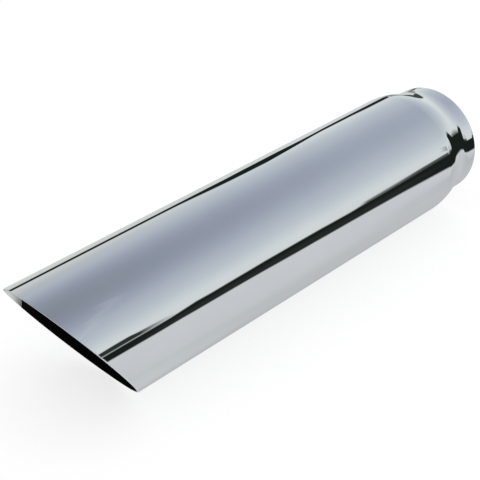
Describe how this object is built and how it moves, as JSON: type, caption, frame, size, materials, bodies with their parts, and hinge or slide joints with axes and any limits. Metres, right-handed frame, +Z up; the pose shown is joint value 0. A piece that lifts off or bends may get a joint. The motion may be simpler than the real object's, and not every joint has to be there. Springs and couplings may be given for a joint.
{
  "type": "exhaust tip",
  "caption": "Straight polished steel exhaust tip with a slash-cut outlet, long lip on top, and an inlet end drawn in to a short collar that takes the tail pipe.",
  "frame": {"origin": "centre of the inlet mouth, on the tube's axis", "axes": "+X along the tube from the inlet to the outlet, +Z up through the tip of the long lip, as the tip hangs on a vehicle"},
  "size_m": [0.4572, 0.1016, 0.1016],
  "materials": {
    "polished_steel": "mirror polished stainless steel outside, duller inside"
  },
  "bodies": {
    "root": {"tip_tube": "polished_steel"}
  },
  "joints": []
}
